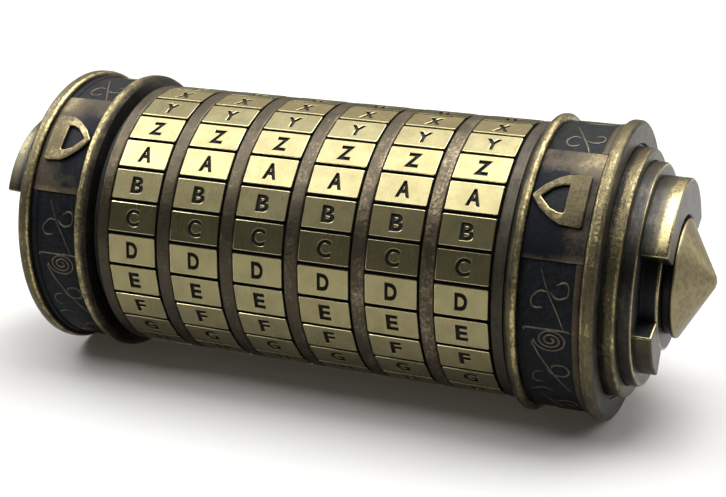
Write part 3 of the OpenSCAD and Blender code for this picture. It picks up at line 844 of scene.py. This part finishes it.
# the shield on a panel and its pointed hole, in mm from the point's end and degrees round the band
SHIELD = [(0.05, 0), (1.6, -4.6), (3.6, -8.2), (5.2, -10.0), (8.8, -10.7),
          (8.8, 10.7), (5.2, 10.0), (3.6, 8.2), (1.6, 4.6)]
SHIELD_HOLE = [(1.5, 0), (3.3, -4.2), (4.6, -5.5), (5.6, -5.7), (5.6, 5.7), (4.6, 5.5), (3.3, 4.2)]
SHIELD_PANEL_W = 9.9                                  # width of the panel that these were drawn for


def build_panels(side):
    c = CAPS[side]
    s, body, mark = c["sign"], c["body"], c["mark"]
    x0 = c["face"] + FLANGE_W + 0.05
    w = c["outer"] - 0.05 - x0
    verts, faces, wear_and_shade, mats = [], [], [], []
    arc = math.radians(SPAN / 2 - 0.2) * BAND_R
    mm = math.radians(1) * BAND_R                       # one degree round the band in mm
    sheet = round_corners([(0.02, -arc), (w - 0.02, -arc), (w - 0.02, arc), (0.02, arc)], 0.3)
    k = w / SHIELD_PANEL_W
    outer = round_corners([(x * k, a * mm) for x, a in SHIELD], 0.5)
    inner = round_corners([(x * k, a * mm) for x, a in SHIELD_HOLE], 0.25)

    def sheet_tone(x, y):
        # the sheet is lighter towards its top and its outer side; on the left cap it is lighter overall and
        # also towards its bottom; a bright line runs along its bottom edge
        v = -0.95 if side == "right" else -0.85
        v += 0.8 * step_up(y, -3.0, -7.0) + 0.7 * step_up(x, w * 0.3, w * 0.85)
        if side == "left":
            v += 0.35 * step_up(y, 3.0, 8.0)
        return v + 1.0 * step_up(y, arc - 0.5, arc - 0.2)

    def shield_tone(x, y):
        # the shield is lighter at its point half, and lighter on the left cap than on the right
        return (0.0 if x > 5.5 * k else 0.3) + (0.3 if side == "left" else 0.0)

    for half in (0, 180):
        def place(x, y, r, half=half):
            return at(s * (x0 + x), r, mark + half + math.degrees(y / BAND_R))
        curved_plate(sheet, None, BAND_R - 0.66, BAND_R + 0.3, 0.14, verts, faces, wear_and_shade, place, sheet_tone)
        mats += [0] * (len(faces) - len(mats))
        curved_plate(outer, inner, BAND_R + 0.2, FLANGE_R - 0.18, 0.24, verts, faces, wear_and_shade, place,
                     shield_tone)
        mats += [2] * (len(faces) - len(mats))
        # dark floor of the shield's hole, a little larger than the hole
        grown = [(x + (0.12 if x > 5 * k else -0.12), y * 1.06) for x, y in inner]
        curved_plate(grown, None, BAND_R + 0.1, BAND_R + 0.33, 0.01, verts, faces, wear_and_shade, place, shield_tone)
        mats += [1] * (len(faces) - len(mats))
    make(f"{side}_marker_panels", verts, faces, [M_PANEL, M_DARK, M_SHIELD], body, [f"{side}_panels"],
         wear_and_shade, mats, 35)


def build_crown(side):
    c = CAPS[side]
    s, body, turn = c["sign"], c["body"], c["turn"]

    def base_wear(x, r, w):
        if r > CROWN_BASE_R - 0.5:
            return -0.5 + 1.25 * step_up(x, CROWN_BASE_X - 0.4, CROWN_BASE_X - 0.12)
        if abs(r - HUB_R) < 0.32 and x > LOW_X - 0.4:
            return 0.75
        if r < HUB_R + 0.1 and x > CROWN_BASE_X + 0.2:
            return -1.1
        return -0.25 - 0.7 * step_up(r, 17.0, 15.0)

    back_x = RING_X - 0.48
    lathe(f"{side}_crown_base",
          [(STUD_HOLE_R, back_x, 0.1), (CROWN_BASE_R, back_x, 0.1), (CROWN_BASE_R, CROWN_BASE_X, 0.4),
           (HUB_R, CROWN_BASE_X, 0.15), (HUB_R, LOW_X, 0.3), (10.4, LOW_X, 0.2), (STUD_HOLE_R, LOW_X, 0.1)],
          M_CROWN, body, [f"{side}_crown"], base_wear, 0.4, amount=0.02, sign=s)
    verts, faces, wear_and_shade = [], [], []

    def tall_wear_and_painted_light(x, r, psi, edge):
        if edge > 0.9:
            return -1.1
        if r < BLOCK_R - 0.45:
            return -0.15 if x > TALL_X - 0.05 else -0.8
        # the left cap's tall block is painted darker than the right one's, as painted shade
        v = -0.45 if side == "right" else -1.15
        v += 1.45 * step_up(x, CROWN_BASE_X + 1.3, TALL_X - 1.2) - 0.3 * step_up(x, TALL_X - 0.2, TALL_X)
        # of the rounded end edges only the lower one, at the front, is painted bright, a painted highlight;
        # the upper one is darker
        return v + (0.9 if psi > 55 else -0.2) * min(1.0, 2 * edge)

    def low_wear_and_highlight(x, r, psi, edge):
        if edge > 0.9:
            return -1.1
        # the rounded edge at the upper end of a low block (psi under 115) is a painted highlight
        return (0.3 if r > BLOCK_R - 0.5 else -0.25) + (1.5 * min(1.0, 4 * edge) if psi < 115 else 0.0)

    # one tall block and two low ones: angles, inner radius, top
    for a0, a1, r0, x1, wear_at in ((-70, 61, 10.45, TALL_X, tall_wear_and_painted_light),
                                    (108, 150, HUB_R - 0.15, LOW_X - 0.012, low_wear_and_highlight),
                                    (225, 267, HUB_R - 0.15, LOW_X - 0.012, low_wear_and_highlight)):
        arc_block(a0, a1, r0, BLOCK_R, CROWN_BASE_X - 0.5, x1, 0.35, verts, faces, wear_and_shade, wear_at)
    sin, cos = math.sin(math.radians(turn)), math.cos(math.radians(turn))
    verts = [Vector((s * v.x, v.y * cos - v.z * sin, v.y * sin + v.z * cos)) for v in verts]
    make(f"{side}_crown_blocks", verts, faces, [M_CROWN], body, [f"{side}_crown"], wear_and_shade,
         sharp=35)


def build_finial(side):
    """The cone with its neck and the stud behind it."""
    c = CAPS[side]
    centre, stud_r, neck_r, cone_r = 0.0001, 3.0, 9.3, 9.9
    neck_x, cone_x, tip_x = LOW_X + 0.02, 59.5, 65.395

    def cone_wear(x, r, w):
        return -1.2 if x < cone_x + 0.4 else 0.3 * w

    lathe(f"{side}_cone",
          [(centre, 41.0, 0), (stud_r, 41.0, 0.3), (stud_r, neck_x, 0.1), (neck_r, neck_x, 0.1),
           (neck_r, cone_x, 0.1), (cone_r, cone_x, 0.12), (cone_r, cone_x + 0.55, 0.25),
           (0.9, tip_x - 0.2, 0.9), (centre, tip_x, 0)],
          M_CONE, c["body"], [f"{side}_finial"], cone_wear, 0.9, 128, sign=c["sign"])


for n in range(DIALS):
    build_dial(n)
for side in CAPS:
    build_cap(side)
    build_band(side)
    build_panels(side)
    build_crown(side)
    build_finial(side)

# ---------------------------------------------------------------- pieces shown as the CAD has them
LOOKS = {"barrel": M_TUBE, "vault_tube": M_TUBE, "barrel_flange": M_TUBE, "vault_flange": M_TUBE,
         "spacer_ring": M_BLACK, "end_collar": M_COLLAR}
for name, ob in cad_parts.items():
    mat = LOOKS.get(name)
    if mat is None and any(w in name for w in ("screws", "nut", "tooth", "code")):
        mat = M_STEEL
    if mat:
        ob.data.materials.clear()
        ob.data.materials.append(mat)

# ---------------------------------------------------------------- floor, lights, camera, in metres
white = Nodes("floor_white")
white.finish(rgb(0.34, 0.338, 0.334), 0.75, metallic=0.0, specular=0.2)
white.bsdf.inputs["Emission Color"].default_value = (1.0, 0.9, 0.7, 1)     # a faint glow softens the shadow
white.bsdf.inputs["Emission Strength"].default_value = 0.035
me = bpy.data.meshes.new("floor")
me.from_pydata([(-4, -3, FLOOR_Z), (4, -3, FLOOR_Z), (4, 4, FLOOR_Z), (-4, 4, FLOOR_Z)], [], [(0, 1, 2, 3)])
me.materials.append(white.mat)
ob = bpy.data.objects.new("floor", me)
bpy.context.scene.collection.objects.link(ob)


def area(name, loc, turn, size_x, size_y, power, colour=(1, 1, 1)):
    """Rectangular light of power in watts. turn is its rotation in degrees; without one it faces down."""
    la = bpy.data.lights.new(name, "AREA")
    la.shape, la.size, la.size_y, la.energy, la.color = "RECTANGLE", size_x, size_y, power, colour
    ob = bpy.data.objects.new(name, la)
    ob.location = loc
    ob.rotation_euler = [math.radians(a) for a in turn]
    bpy.context.scene.collection.objects.link(ob)


# the softbox lights the A and Z rows, and the two beside it the caps
area("softbox", (-0.25, -0.02, 0.62), (0, 0, 10), 0.78, 0.82, 9)
area("right_light", (0.14, 0.165, 0.60), (0, 0, -5), 0.34, 0.57, 7)
area("left_light", (-0.65, -0.07, 0.60), (0, 0, 10), 0.36, 0.82, 8)
area("back_light", (-0.4, 1.5, 0.95), (-68, 0, 0), 2.6, 0.9, 7.5, (1, 0.88, 0.64))
area("side_light", (1.35, 0.95, 1.05), (-25, 48, 0), 1.3, 1.3, 31)
area("front_fill", (-0.66, -0.80, 0.62), (0, 0, 0), 0.55, 0.45, 0.8)

world = bpy.data.worlds.new("studio")
bpy.context.scene.world = world
world.use_nodes = True
background = world.node_tree.nodes["Background"].inputs
background["Color"].default_value = (0.08, 0.08, 0.083, 1)
background["Strength"].default_value = 1.0

cam = bpy.data.cameras.new("camera")
cam.lens, cam.sensor_width, cam.clip_start = 77.02, 36, 0.01
camera = bpy.data.objects.new("camera", cam)
camera.location = (0.10068, -0.24100, 0.08653)
camera.rotation_euler = (math.radians(71.178), 0, math.radians(21.984))
bpy.context.scene.collection.objects.link(camera)
bpy.context.scene.camera = camera
bpy.context.scene.view_settings.view_transform = "Standard"
bpy.context.scene.view_settings.look = "None"
